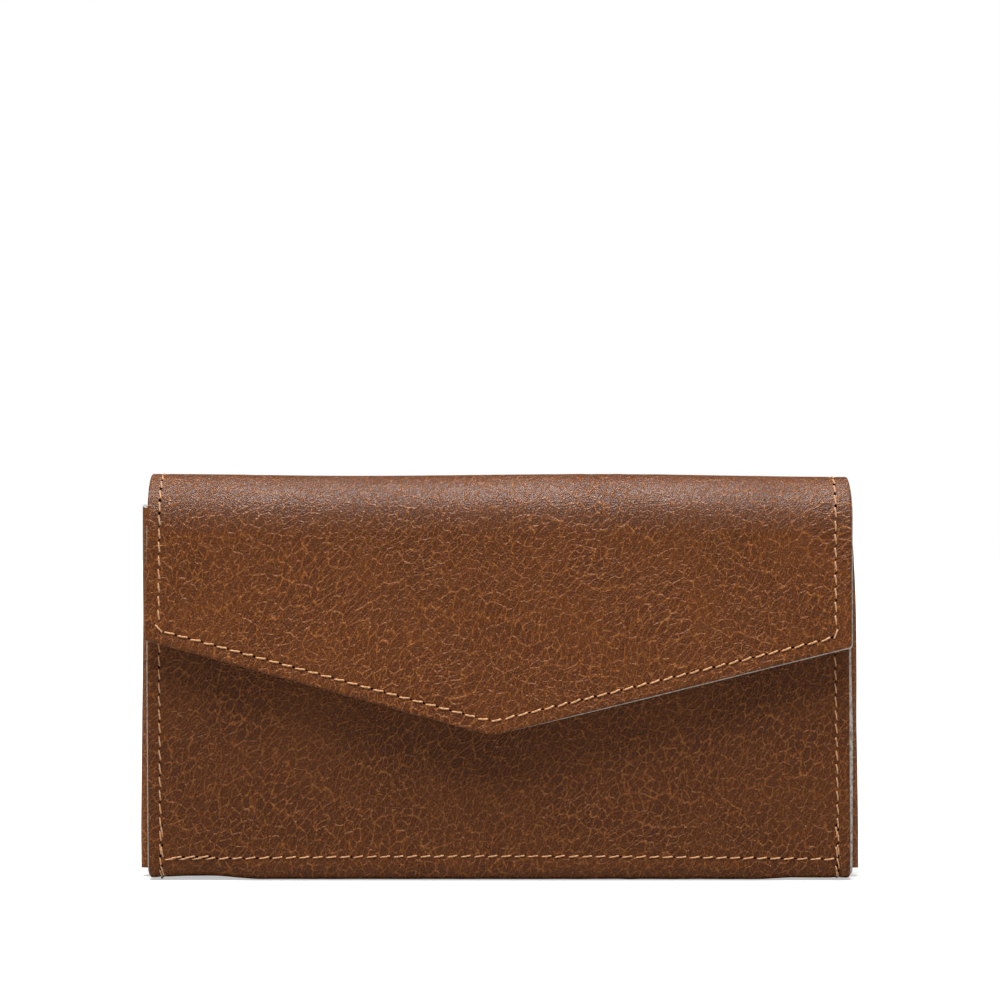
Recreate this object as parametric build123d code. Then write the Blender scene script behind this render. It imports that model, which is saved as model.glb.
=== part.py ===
from build123d import *
import math
import os

# A long flap wallet, in mm. X runs to the right, Y to the back, Z up.
# The origin is on the floor, at the middle of the closed wallet's length and depth.

# Driving dimensions
PANEL_WIDTH = 190.0  # back, front and flap, across
OVERALL_DEPTH = 27.4  # from the back's outer face to the flap's tip
BODY_DEPTH = 20.7  # from the back's outer face to the front's outer face
LEATHER = 1.3
LINING = 1.0
GUSSET = 1.0
POCKET_LEATHER = 0.9  # walls of the coin pocket
SLOT_LEATHER = 0.65  # card slot strips
TAPE = 0.4

# Heights above the floor
FRONT_TOP = 96.0
FOLD_SPRING = 97.9  # where the back starts to bend into the top fold
FLAP_SIDE = 64.6  # the flap's two outer corners
FLAP_TIP = 40.0
GUSSET_TOP = 101.0
GUSSET_SEAM_TOP = 96.0
GUSSET_BOTTOM = 2.6
GUSSET_SEAM_BOTTOM = 3.8
POCKET_TOP = 86.0
POCKET_BOTTOM = 5.0
SLOT_TOPS = {"lower": 62.0, "middle": 70.0, "upper": 78.0}
SLOT_DEPTH = 54.0

# Bends
FOLD_RADIUS = 11.8  # outside of the top fold
BOTTOM_RADIUS = 3.5  # outside of the two bottom folds
FOLD_HINGES = 4  # lines, evenly spaced round the top fold, on which it bends
TIP_RADIUS = 5.0
CORNER_RADIUS = 0.8
WALL_BEND = 2.0  # where a pocket wall steps in to its sewn edge
GUSSET_BEND = 1.0  # where a gusset steps over to lie on the pocket
BEND_SLACK = 0.02  # keeps a bend just under the room it has

# Where the side gussets stand
PEAK_X = 97.8  # outermost crease of each gusset
VALLEY_X = 84.0  # innermost crease
SEAM_X = 94.6  # edge of a gusset sewn to a panel
LAP_X = 90.0  # the pocket is full thickness inside this
GUSSET_LAP_X = 91.0  # where a gusset starts to step over
WALL_JOG = 3.0  # length over which a pocket wall steps in to the sewn edge
GUSSET_JOG = 3.4
PEAK_ROOM = 0.7  # from the pocket's sewn edge to the inside of the peak's crease

# Relief between parts on different bodies
GAP = 0.3
SEAM_GAP = 0.05  # between sewn layers on different bodies
FOOT_GAP = 0.45  # the front panel's foot turns about the end of the bottom

# Layers from front to back
FRONT_ROOM = 4.45  # clear depth of the front compartment
COIN_HOLLOW = 1.5  # empty coin pocket, pressed flat
BACK_FACE = OVERALL_DEPTH / 2
FRONT_FACE = BACK_FACE - BODY_DEPTH
FRONT_INSIDE = FRONT_FACE + LEATHER + LINING
BACK_INSIDE = BACK_FACE - LEATHER - LINING
SLOTS_FACE = FRONT_INSIDE + FRONT_ROOM
POCKET_FACE = SLOTS_FACE + len(SLOT_TOPS) * SLOT_LEATHER
POCKET_MIDDLE = POCKET_FACE + POCKET_LEATHER + COIN_HOLLOW / 2

# The top fold and the flap's plane, which is tangent to it
FOLD_Y = BACK_FACE - FOLD_RADIUS
TIP_REACH = math.hypot(FOLD_Y + BACK_FACE, FOLD_SPRING - FLAP_TIP)
FLAP_LEAN = math.degrees(
    math.atan2(FOLD_Y + BACK_FACE, FOLD_SPRING - FLAP_TIP) - math.asin(FOLD_RADIUS / TIP_REACH)
)
LEAN = math.radians(FLAP_LEAN)
FLAP_START_Y = FOLD_Y - FOLD_RADIUS * math.cos(LEAN)
FLAP_START_Z = FOLD_SPRING + FOLD_RADIUS * math.sin(LEAN)
FLAP_PLANE = Plane(
    origin=(0, FLAP_START_Y, FLAP_START_Z),
    x_dir=(1, 0, 0),
    z_dir=(0, -math.cos(LEAN), math.sin(LEAN)),
)

# Magnetic snap under the flap's tip
SNAP_Z = 52.0
SNAP_RADIUS = 5.0
SNAP_WASHER_RADIUS = 5.6
SNAP_WASHER = 0.5
STUD_PLATE = 0.7
STUD_RADIUS = 2.0
STUD_LENGTH = 1.5
SOCKET_HEIGHT = 2.2
SOCKET_HOLE_RADIUS = 2.6
SOCKET_HOLE_DEPTH = 1.6
MAGNET_INNER = 2.9
MAGNET_OUTER = 4.6
MAGNET_HEIGHT = 1.6
PRONG_X = 2.5
PRONG_WIDTH = 2.0
PRONG = 0.4

# Zip of the coin pocket
ZIP_HALF = 80.0  # half the length of the teeth
TAPE_HALF = 83.5
TEETH_WIDTH = 1.6
TEETH_HEIGHT = 1.6
TEETH_SPLIT = 0.8  # room for the slider's post
TEETH_BOTTOM = 88.1
TAPE_BULGE = 3.3  # from the pocket's middle to the outside of the tape
TAPE_FOOT = 79.0
TAPE_LIFT = 0.1  # of the tape over the edge of a pocket wall
TAPE_BEND = 0.25
TOOTH_ROUND = 0.35
STOP_LENGTH = 1.2
SLIDER_X = 74.0  # slider at rest, with the zip closed
SLIDER_LENGTH = 10.0
SLIDER_TOP_WIDTH = 6.0
SLIDER_BASE_WIDTH = 5.2
SLIDER_PLATE = 0.8
SLIDER_BASE_ROUND = 1.6
SLIDER_TOP_ROUND = 2.0
SLIDER_POST = 0.5
POST_LENGTH = 3.0
POST_INSET = 1.0  # from the slider's nose
BRIDGE_LENGTH = 6.0
BRIDGE_WIDTH = 1.4
BRIDGE_HEIGHT = 2.2
BRIDGE_WALL = 0.7
BRIDGE_ROUND = 1.2
PULL_LENGTH = 14.0
PULL_WIDTH = 4.4
PULL_THICKNESS = 0.9
PULL_PIN_RADIUS = 0.45
PULL_PIN_RISE = 0.8  # pin above the slider's top plate
PULL_EYE_LENGTH = 3.6
PULL_EYE_WIDTH = 2.4
PULL_HOLE_RADIUS = 0.9


def band(points, radii, thickness):
    """A flat strip of even thickness along a bent line, in the sketch's own plane."""
    return trace(FilletPolyline(*points, radius=radii), line_width=thickness)


def across(section):
    """A section in the Y-Z plane made as wide as the panels."""
    return extrude(Plane.YZ * section, amount=PANEL_WIDTH / 2, both=True)


def upright(section, bottom, top):
    """A section in the X-Y plane made as tall as from bottom to top."""
    return extrude(Pos(0, 0, bottom) * section, amount=top - bottom)


def block(x, y, z):
    """A box from three (low, high) pairs."""
    size = [high - low for low, high in (x, y, z)]
    centre = [(high + low) / 2 for low, high in (x, y, z)]
    return Pos(*centre) * Box(*size)


def fold_sector(outside, thickness, start, end):
    """Part of the top fold, between two angles measured from the back upwards."""
    centre = (FOLD_Y, FOLD_SPRING)
    outer = CenterArc(centre, outside, start, end - start)
    inner = CenterArc(centre, outside - thickness, start, end - start)
    ends = [Line(outer @ 0, inner @ 0), Line(outer @ 1, inner @ 1)]
    return across(make_face(Curve() + [outer, inner, *ends]))


def back_pieces():
    """The back and bottom, each an outer leather and a lining."""
    leather_y = BACK_FACE - LEATHER / 2
    lining_y = BACK_INSIDE + LINING / 2
    corner_top = BOTTOM_RADIUS
    hinge_y = FRONT_FACE + BOTTOM_RADIUS
    flat_leather = [(hinge_y, LEATHER / 2), (leather_y, LEATHER / 2), (leather_y, corner_top)]
    lining_z = LEATHER + LINING / 2
    flat_lining = [(hinge_y, lining_z), (lining_y, lining_z), (lining_y, corner_top)]
    half = PANEL_WIDTH / 2
    leather_bend = BOTTOM_RADIUS - LEATHER / 2 - BEND_SLACK
    lining_bend = BOTTOM_RADIUS - LEATHER - LINING / 2 - BEND_SLACK
    return {
        "back_panel": block((-half, half), (BACK_FACE - LEATHER, BACK_FACE), (corner_top, FOLD_SPRING)),
        "back_lining": block((-half, half), (BACK_INSIDE, BACK_FACE - LEATHER), (corner_top, FOLD_SPRING)),
        "bottom_panel": across(band(flat_leather, leather_bend, LEATHER)),
        "bottom_lining": across(band(flat_lining, lining_bend, LINING)),
    }


def fold_pieces():
    """The top fold in five stretches, which turn against each other as the flap opens."""
    turn = 180 - FLAP_LEAN
    hinges = [turn * (n + 0.5) / FOLD_HINGES for n in range(FOLD_HINGES)]
    edges = [0, *hinges, turn]
    pieces = {}
    for name, start, end in zip(("back", "rear", "top", "front", "flap"), edges, edges[1:]):
        pieces[f"fold_leather_{name}"] = fold_sector(FOLD_RADIUS, LEATHER, start, end)
        pieces[f"fold_lining_{name}"] = fold_sector(FOLD_RADIUS - LEATHER, LINING, start, end)
    return pieces


def flap_outline():
    """The flap's outline in its own plane: straight sides and a shallow V with a soft tip."""
    half = PANEL_WIDTH / 2
    side = (FLAP_START_Z - FLAP_SIDE) / math.cos(LEAN)
    tip = (FLAP_START_Z - FLAP_TIP) / math.cos(LEAN)
    face = Polygon((-half, 0), (-half, -side), (0, -tip), (half, -side), (half, 0), align=None)
    corners = face.vertices().sort_by(Axis.Y)
    face = fillet(corners[0], TIP_RADIUS)
    corners = face.vertices().sort_by(Axis.X)
    low = [v for v in (corners[0], corners[1], corners[-1], corners[-2]) if v.Y < -side / 2]
    return fillet(low, CORNER_RADIUS)


def prongs(low, high):
    """The snap's two prongs, each side of its middle."""
    leg = (-PRONG_WIDTH / 2, PRONG_WIDTH / 2)
    left = block((-PRONG_X - PRONG, -PRONG_X), leg, (low, high))
    right = block((PRONG_X, PRONG_X + PRONG), leg, (low, high))
    return left + right


def disc(radius, low, high):
    """A round plate between two heights."""
    return Pos(0, 0, low) * extrude(Circle(radius), amount=high - low)


def flap_pieces():
    """The flap's leather and lining, with the snap's stud and its washer under the lining."""
    outline = FLAP_PLANE * flap_outline()
    leather = extrude(outline, amount=-LEATHER)
    lining = extrude(FLAP_PLANE * Pos(0, 0, -LEATHER) * flap_outline(), amount=-LINING)
    down = (FLAP_START_Z - SNAP_Z) / math.cos(LEAN)
    seat = FLAP_PLANE * Pos(0, -down, 0)
    face = -LEATHER - LINING
    washer = seat * disc(SNAP_WASHER_RADIUS, -LEATHER - SNAP_WASHER, -LEATHER)
    stud = disc(SNAP_RADIUS, face - STUD_PLATE, face)
    stud += disc(STUD_RADIUS, face - STUD_PLATE - STUD_LENGTH, face - STUD_PLATE)
    stud = seat * (stud + prongs(face, -LEATHER - SNAP_WASHER))
    return {
        "flap_panel": leather,
        "flap_lining": lining - washer - stud,
        "snap_stud": stud,
        "snap_stud_washer": washer,
    }


def front_pieces():
    """The front's leather and lining with a foot each under the bottom fold, and the snap's socket."""
    foot_end = FRONT_FACE + BOTTOM_RADIUS - FOOT_GAP
    leather_y = FRONT_FACE + LEATHER / 2
    lining_y = FRONT_INSIDE - LINING / 2
    lining_z = LEATHER + LINING / 2
    leather_line = [(leather_y, FRONT_TOP), (leather_y, LEATHER / 2), (foot_end, LEATHER / 2)]
    lining_line = [(lining_y, FRONT_TOP), (lining_y, lining_z), (foot_end, lining_z)]
    bend = BOTTOM_RADIUS - FOOT_GAP - BEND_SLACK
    leather = across(band(leather_line, bend - LEATHER / 2, LEATHER))
    lining = across(band(lining_line, bend - LEATHER - LINING / 2, LINING))
    seat = Plane(origin=(0, FRONT_FACE, SNAP_Z), x_dir=(1, 0, 0), z_dir=(0, -1, 0))
    magnet = disc(MAGNET_OUTER, 0, MAGNET_HEIGHT) - disc(MAGNET_INNER, 0, MAGNET_HEIGHT)
    socket = disc(SNAP_RADIUS, 0, SOCKET_HEIGHT) - magnet
    socket -= disc(SOCKET_HOLE_RADIUS, SOCKET_HEIGHT - SOCKET_HOLE_DEPTH, SOCKET_HEIGHT)
    legs = prongs(-LEATHER, SOCKET_HEIGHT - SOCKET_HOLE_DEPTH) & disc(MAGNET_INNER, -LEATHER, SOCKET_HEIGHT)
    socket = seat * (socket + legs)
    washer = seat * disc(SNAP_WASHER_RADIUS, -LEATHER - SNAP_WASHER, -LEATHER)
    return {
        "front_panel": leather - socket,
        "front_lining": lining - washer,
        "snap_socket": socket,
        "snap_magnet": seat * magnet,
        "snap_socket_washer": washer,
    }


def gusset_pair(name, panel_y, pocket_y, lap_y, side):
    """One fold of the accordion at both sides: from a panel's edge in to the valley and out to the peak."""
    turn = abs(panel_y - pocket_y) / 2 - BEND_SLACK
    wrap_y = POCKET_MIDDLE + side * SEAM_GAP
    path = [
        (SEAM_X, panel_y),
        (VALLEY_X + GUSSET / 2, panel_y),
        (VALLEY_X + GUSSET / 2, pocket_y),
        (GUSSET_LAP_X, pocket_y),
        (GUSSET_LAP_X + GUSSET_JOG, lap_y),
        (PEAK_X - GUSSET / 2, lap_y),
        (PEAK_X - GUSSET / 2, wrap_y),
    ]
    radii = [turn, turn, GUSSET_BEND, GUSSET_BEND, abs(lap_y - wrap_y) - BEND_SLACK]
    right = upright(band(path, radii, GUSSET), GUSSET_BOTTOM, GUSSET_TOP)
    slope = Polygon(
        (FRONT_FACE, GUSSET_SEAM_BOTTOM),
        (POCKET_MIDDLE, GUSSET_BOTTOM),
        (BACK_FACE, GUSSET_SEAM_BOTTOM),
        (BACK_FACE, GUSSET_SEAM_TOP),
        (POCKET_MIDDLE, GUSSET_TOP),
        (FRONT_FACE, GUSSET_SEAM_TOP),
        align=None,
    )
    right &= extrude(Plane.YZ * slope, amount=PEAK_X + GUSSET, both=True)
    return {f"{name}_right": right, f"{name}_left": mirror(right, about=Plane.YZ)}


def gusset_pieces():
    """The two W gussets, each in a front and a rear half that meet at the peak."""
    lap = POCKET_LEATHER + SEAM_GAP + GUSSET / 2
    half = GUSSET / 2 + SEAM_GAP
    front = gusset_pair(
        "front_gusset", FRONT_INSIDE + half, SLOTS_FACE - half, POCKET_MIDDLE - lap, -1
    )
    pocket_back = 2 * POCKET_MIDDLE - POCKET_FACE
    rear = gusset_pair(
        "rear_gusset", BACK_INSIDE - half, pocket_back + half, POCKET_MIDDLE + lap, 1
    )
    return {**front, **rear}


def pocket_wall(side):
    """One wall of the coin pocket, jogged in at both edges to lie against the other."""
    main = POCKET_MIDDLE + side * (COIN_HOLLOW + POCKET_LEATHER) / 2
    lap = POCKET_MIDDLE + side * POCKET_LEATHER / 2
    edge = PEAK_X - GUSSET - PEAK_ROOM
    half_path = [(LAP_X, main), (LAP_X + WALL_JOG, lap), (edge, lap)]
    path = [(-x, y) for x, y in reversed(half_path)] + half_path
    return upright(band(path, [WALL_BEND] * (len(path) - 2), POCKET_LEATHER), POCKET_BOTTOM, POCKET_TOP)


def pocket_pieces():
    """The coin pocket's walls and the three rows of card slots on its front."""
    pieces = {
        "coin_pocket_front_wall": pocket_wall(-1),
        "coin_pocket_rear_wall": pocket_wall(1),
    }
    for row, (name, top) in enumerate(SLOT_TOPS.items()):
        front = SLOTS_FACE + row * SLOT_LEATHER
        strip = block((-LAP_X, LAP_X), (front, front + SLOT_LEATHER), (top - SLOT_DEPTH, top))
        pieces[f"card_slot_{name}"] = strip
    return pieces


def zip_tape(side):
    """One tape: sewn inside a pocket wall, out over its edge, and back in above to the teeth."""
    inside = POCKET_MIDDLE + side * (COIN_HOLLOW / 2 - TAPE / 2)
    outside = POCKET_MIDDLE + side * (TAPE_BULGE - TAPE / 2)
    teeth = POCKET_MIDDLE + side * (TEETH_SPLIT / 2 + TEETH_WIDTH)
    over = POCKET_TOP + TAPE_LIFT + TAPE / 2
    level = TEETH_BOTTOM + TEETH_HEIGHT / 2
    path = [(inside, TAPE_FOOT), (inside, over), (outside, over), (outside, level), (teeth, level)]
    section = band(path, [TAPE_BEND] * 3, TAPE)
    return extrude(Plane.YZ * section, amount=TAPE_HALF, both=True)


def zip_teeth(side):
    """One row of teeth, as the closed outer shape of its coil."""
    near = POCKET_MIDDLE + side * TEETH_SPLIT / 2
    far = near + side * TEETH_WIDTH
    rows = (min(near, far), max(near, far))
    bar = block((-ZIP_HALF, ZIP_HALF), rows, (TEETH_BOTTOM, TEETH_BOTTOM + TEETH_HEIGHT))
    return fillet(bar.edges().filter_by(Axis.X), TOOTH_ROUND)


def zip_stop(x):
    """A metal stop clamped round both rows at one end of the teeth."""
    half = TEETH_SPLIT / 2 + TEETH_WIDTH
    y = (POCKET_MIDDLE - half, POCKET_MIDDLE + half)
    low = min(x, x + math.copysign(STOP_LENGTH, x))
    return block((low, low + STOP_LENGTH), y, (TEETH_BOTTOM, TEETH_BOTTOM + TEETH_HEIGHT))


def zip_slider():
    """Two plates joined by a thin post at the nose, and a bridge for the pull."""
    x = (SLIDER_X - SLIDER_LENGTH / 2, SLIDER_X + SLIDER_LENGTH / 2)
    base_z = TEETH_BOTTOM - GAP
    top_z = TEETH_BOTTOM + TEETH_HEIGHT + GAP
    base_half = SLIDER_BASE_WIDTH / 2
    top_half = SLIDER_TOP_WIDTH / 2
    base = block(x, (POCKET_MIDDLE - base_half, POCKET_MIDDLE + base_half), (base_z - SLIDER_PLATE, base_z))
    top = block(x, (POCKET_MIDDLE - top_half, POCKET_MIDDLE + top_half), (top_z, top_z + SLIDER_PLATE))
    base = fillet(base.edges().filter_by(Axis.Z), SLIDER_BASE_ROUND)
    top = fillet(top.edges().filter_by(Axis.Z), SLIDER_TOP_ROUND)
    post_y = (POCKET_MIDDLE - SLIDER_POST / 2, POCKET_MIDDLE + SLIDER_POST / 2)
    post_end = x[1] - POST_INSET
    post = block((post_end - POST_LENGTH, post_end), post_y, (base_z, top_z))
    deck = top_z + SLIDER_PLATE
    bridge_x = (SLIDER_X - BRIDGE_LENGTH / 2, SLIDER_X + BRIDGE_LENGTH / 2)
    bridge_y = (POCKET_MIDDLE - BRIDGE_WIDTH / 2, POCKET_MIDDLE + BRIDGE_WIDTH / 2)
    bridge = block(bridge_x, bridge_y, (deck, deck + BRIDGE_HEIGHT))
    bridge = fillet(bridge.edges().filter_by(Axis.Y).group_by(Axis.Z)[-1], BRIDGE_ROUND)
    window_x = (bridge_x[0] + BRIDGE_WALL, bridge_x[1] - BRIDGE_WALL)
    bridge -= block(window_x, bridge_y, (deck, deck + BRIDGE_HEIGHT - BRIDGE_WALL))
    return base + top + post + bridge


def zip_pull():
    """A flat tab with an eye, hung on the slider's bridge by its crossbar."""
    pin_z = TEETH_BOTTOM + TEETH_HEIGHT + GAP + SLIDER_PLATE + PULL_PIN_RISE
    outline = SlotOverall(PULL_LENGTH, PULL_WIDTH)
    eye = Pos(PULL_LENGTH / 2 - PULL_EYE_LENGTH / 2 - 2 * PULL_PIN_RADIUS, 0) * Rectangle(
        PULL_EYE_LENGTH, PULL_EYE_WIDTH
    )
    hole = Pos(-PULL_LENGTH / 2 + PULL_WIDTH / 2, 0) * Circle(PULL_HOLE_RADIUS)
    tab = extrude(outline - eye - hole, amount=PULL_THICKNESS / 2, both=True)
    reach = SLIDER_X - PULL_LENGTH / 2 + PULL_PIN_RADIUS
    return Pos(reach, POCKET_MIDDLE, pin_z) * tab


def zip_pieces():
    """The coin pocket's zip."""
    return {
        "zip_tape_front": zip_tape(-1),
        "zip_tape_rear": zip_tape(1),
        "zip_teeth_front": zip_teeth(-1),
        "zip_teeth_rear": zip_teeth(1),
        "zip_top_stop": zip_stop(ZIP_HALF),
        "zip_bottom_stop": zip_stop(-ZIP_HALF),
        "zip_slider": zip_slider(),
        "zip_pull": zip_pull(),
    }


def main():
    pieces = {
        **back_pieces(),
        **fold_pieces(),
        **flap_pieces(),
        **front_pieces(),
        **gusset_pieces(),
        **pocket_pieces(),
        **zip_pieces(),
    }
    os.makedirs("parts", exist_ok=True)
    for name, piece in pieces.items():
        export_step(piece, f"parts/{name}.step")
    print(len(pieces), "pieces; flap lean", round(FLAP_LEAN, 2), "pocket middle", round(POCKET_MIDDLE, 2))


main()
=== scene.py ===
# %% [markdown]
# # A long flap wallet, dressed in leather
#
# The CAD model holds the size and the joints of this wallet: a hide that runs from the flap over the
# top fold, down the back, under the bottom and up the front, with accordion gussets at both sides and a
# zip pocket in the middle. Here each soft piece is made again as thin leather, with thread, grain and
# raw cut edges, in the same place as the CAD piece it stands for.

# %% Load the frame
import math
import bpy
import numpy as np
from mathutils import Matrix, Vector


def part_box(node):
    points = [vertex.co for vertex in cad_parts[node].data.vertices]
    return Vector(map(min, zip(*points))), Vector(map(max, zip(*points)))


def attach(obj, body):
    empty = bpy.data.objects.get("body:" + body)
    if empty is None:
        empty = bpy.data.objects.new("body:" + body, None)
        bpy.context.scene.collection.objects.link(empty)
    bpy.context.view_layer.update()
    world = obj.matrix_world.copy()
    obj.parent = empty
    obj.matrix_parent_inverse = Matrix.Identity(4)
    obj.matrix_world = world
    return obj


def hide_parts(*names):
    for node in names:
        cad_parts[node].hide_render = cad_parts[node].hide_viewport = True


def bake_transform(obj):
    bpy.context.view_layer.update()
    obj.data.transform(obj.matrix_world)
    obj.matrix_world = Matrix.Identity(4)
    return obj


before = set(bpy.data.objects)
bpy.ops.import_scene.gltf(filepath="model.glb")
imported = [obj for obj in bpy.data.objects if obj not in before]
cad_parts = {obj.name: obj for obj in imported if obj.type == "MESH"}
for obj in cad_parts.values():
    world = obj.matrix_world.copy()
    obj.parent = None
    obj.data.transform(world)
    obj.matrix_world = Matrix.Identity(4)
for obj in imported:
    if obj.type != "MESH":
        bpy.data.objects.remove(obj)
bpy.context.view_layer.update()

# %% [markdown]
# ## Units, colours and nodes
#
# Leather work is measured in millimetres and Blender works in metres, so every length below is in mm
# and is turned to metres when a mesh is made. Colours are written as sRGB hex codes, the way a colour
# picker shows them, but shaders want linear light: one function does that. The others make a node, a
# piece or a material, which every step below needs.

# %% Small helpers
MM = 0.001


def colour(code):
    """An sRGB hex code as the linear colour that a shader works in."""
    parts = [int(code[i:i + 2], 16) / 255 for i in (1, 3, 5)]
    return (*[c / 12.92 if c <= 0.04045 else ((c + 0.055) / 1.055) ** 2.4 for c in parts], 1.0)


def connect(tree, node, inputs):
    """Sets a node's inputs. Each takes a value, another node's first output, or a chosen output."""
    for key, value in inputs.items():
        source = value.outputs[0] if isinstance(value, bpy.types.Node) else value
        if isinstance(source, bpy.types.NodeSocket):
            tree.links.new(source, node.inputs[key])
        else:
            node.inputs[key].default_value = source


def add(tree, kind, inputs=None, **settings):
    """Adds one node with its settings and its inputs."""
    node = tree.nodes.new(kind)
    for name, value in settings.items():
        setattr(node, name, value)
    connect(tree, node, inputs or {})
    return node


def box_mm(node):
    """Lowest and highest corner of a CAD piece, in mm."""
    return [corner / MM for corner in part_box(node)]


def new_piece(name, mesh):
    """Puts a mesh in the scene as a piece of its own."""
    piece = bpy.data.objects.new(name, mesh)
    bpy.context.scene.collection.objects.link(piece)
    return piece


def new_material(name):
    material = bpy.data.materials.new(name)
    material.use_nodes = True
    return material, material.node_tree, material.node_tree.nodes["Principled BSDF"]


def noise(tree, vector, scale, detail):
    return add(tree, "ShaderNodeTexNoise", {"Vector": vector, "Scale": scale, "Detail": detail})


def two_tone(tree, factor, dark, light, low=0.0, high=1.0):
    """A ramp from a dark colour at low to a light one at high."""
    ramp = add(tree, "ShaderNodeValToRGB", {"Fac": factor})
    for stop, position, code in zip(ramp.color_ramp.elements, (low, high), (dark, light)):
        stop.position, stop.color = position, colour(code)
    return ramp


def object_place(tree):
    """The place on the piece, in metres."""
    return add(tree, "ShaderNodeTexCoord").outputs["Object"]


print("full-grain tan in linear light:", [round(c, 3) for c in colour("#7a4628")[:3]])

# %% [markdown]
# ## The hide's section
#
# Seen from the end, the hide is one long strip: the flap leans against the front, bends over the top
# fold, drops down the back, turns under and comes up the front. A strip like that is described best
# the way a hand would bend it: so far straight, then so many degrees of turn over so many millimetres.
# Walking along the runs gives every point of the section and its length never changes, so a pattern
# laid on it runs on unbroken from the flap's tip to the front's top edge.
#
# Leather doesn't change from straight to round at a line. Averaging the curvature over a few
# millimetres eases each bend in and out.

# %% Walk the section
flap_low = box_mm("flap_panel")[0]
back_low, back_high = box_mm("back_panel")
front_low, front_high = box_mm("front_panel")
LEATHER = back_high.y - back_low.y
LINING = back_low.y - box_mm("back_lining")[0].y
HALF = back_high.x
FOLD_RADIUS = box_mm("fold_leather_top")[1].z - back_high.z
FOOT_RADIUS = back_low.z
fold_y = back_high.y - FOLD_RADIUS
reach = math.hypot(fold_y - flap_low.y, back_high.z - flap_low.z)
LEAN = math.atan2(fold_y - flap_low.y, back_high.z - flap_low.z) - math.asin(FOLD_RADIUS / reach)
FLAP_LENGTH = math.sqrt(reach ** 2 - FOLD_RADIUS ** 2)
FOLD_TURN = math.pi - LEAN
bottom_run = back_high.y - front_low.y - 2 * FOOT_RADIUS
RUNS = [
    (FLAP_LENGTH, 0),
    (FOLD_RADIUS * FOLD_TURN, FOLD_TURN),
    (back_high.z - FOOT_RADIUS, 0),
    (FOOT_RADIUS * math.pi / 2, math.pi / 2),
    (bottom_run, 0),
    (FOOT_RADIUS * math.pi / 2, math.pi / 2),
    (front_high.z - FOOT_RADIUS, 0),
]
MARKS = np.cumsum([0] + [length for length, turn in RUNS])
FOLD_IN, FOLD_OUT, FOOT_REAR, FLOOR_REAR, FLOOR_FRONT, FOOT_FRONT, HIDE_END = MARKS[1:]
STEP = 0.05
EASE = 3.0

walk_v = np.arange(0, HIDE_END + STEP, STEP)
curvature = np.zeros_like(walk_v)
for mark, (length, turn) in zip(MARKS, RUNS):
    curvature[(walk_v >= mark) & (walk_v < mark + length)] = turn / length
easing = np.ones(int(EASE / STEP)) / int(EASE / STEP)
curvature = np.convolve(curvature, easing, mode="same")
walk_h = math.pi / 2 - LEAN - np.cumsum(curvature) * STEP
walk_y = np.cumsum(np.cos(walk_h)) * STEP
walk_z = np.cumsum(np.sin(walk_h)) * STEP
floor_middle = np.searchsorted(walk_v, (FLOOR_REAR + FLOOR_FRONT) / 2)
walk_y += (back_high.y + front_low.y) / 2 - walk_y[floor_middle]
walk_z -= walk_z[floor_middle]
print(f"hide {HIDE_END:.1f} mm long and {2 * HALF:.0f} wide; flap tip at z {walk_z[0]:.1f}")

# %% [markdown]
# ## How the hide lies
#
# No hide lies dead flat. The flap has settled half a degree askew, the fold's crown rises and dips by
# a few tenths, the panels are gently wavy, and near the left corner the bottom edge stands a
# millimetre off the table. All of that moves the whole thickness of the sheet, lining included.
# Smooth random hills come from a lattice of fixed random numbers, blended between its points.

# %% Waves of the whole sheet
FLAP_SKEW = math.radians(0.5)
FLAP_WAVE = 0.22
PANEL_WAVE = 0.16
CROWN = [(-95, 0.5), (-40, -0.05), (28, 0.45), (95, -0.35)]
LIFT = [(-95, 0.55), (-81, 1.2), (-64, 0.0), (70, 0.0), (80, 0.5), (95, 0.45)]


def smooth_through(x, stops):
    """Eases from one (place, value) stop to the next, level at each."""
    places, values = np.array(stops).T
    x = np.clip(x, places[0], places[-1])
    i = np.clip(np.searchsorted(places, x) - 1, 0, len(places) - 2)
    t = (x - places[i]) / (places[i + 1] - places[i])
    return values[i] + (values[i + 1] - values[i]) * t * t * (3 - 2 * t)


def hills(x, y, size, seed):
    """Smooth random hills about size across, between -1 and 1."""
    count = 64
    lattice = np.random.default_rng(seed).uniform(-1, 1, (count, count))
    u, v = np.broadcast_arrays(x / size, y / size)
    i, j = np.floor(u).astype(int), np.floor(v).astype(int)
    s, t = [f * f * (3 - 2 * f) for f in (u - i, v - j)]
    low = lattice[i % count, j % count] * (1 - s) + lattice[(i + 1) % count, j % count] * s
    high = lattice[i % count, (j + 1) % count] * (1 - s) + lattice[(i + 1) % count, (j + 1) % count] * s
    return low * (1 - t) + high * t


def near(v, centre, width):
    """One at the centre, fading to nothing over about the width."""
    return np.exp(-((v - centre) / width) ** 2)


def sheet_wave(x, v):
    """How far the whole sheet stands out from its plain section."""
    crown = smooth_through(x, CROWN) * near(v, (FOLD_IN + FOLD_OUT) / 2, 14)
    lift = smooth_through(x, LIFT) * near(v, FLOOR_FRONT + 2, 6)
    on_flap = FLAP_WAVE * hills(x, v, 38, 3) * np.clip((FOLD_IN - v) / 25, 0, 1)
    on_front = PANEL_WAVE * hills(x, v, 30, 5) * np.clip((v - FOOT_FRONT - 4) / 12, 0, 1)
    back_middle = np.clip((v - FOLD_OUT) / 12, 0, 1) * np.clip((FOOT_REAR - v) / 12, 0, 1)
    return crown - lift + on_flap + on_front + PANEL_WAVE * hills(x, v, 42, 7) * back_middle


print("crown wave from", CROWN[-1][1], "to", CROWN[0][1], "mm")

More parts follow.
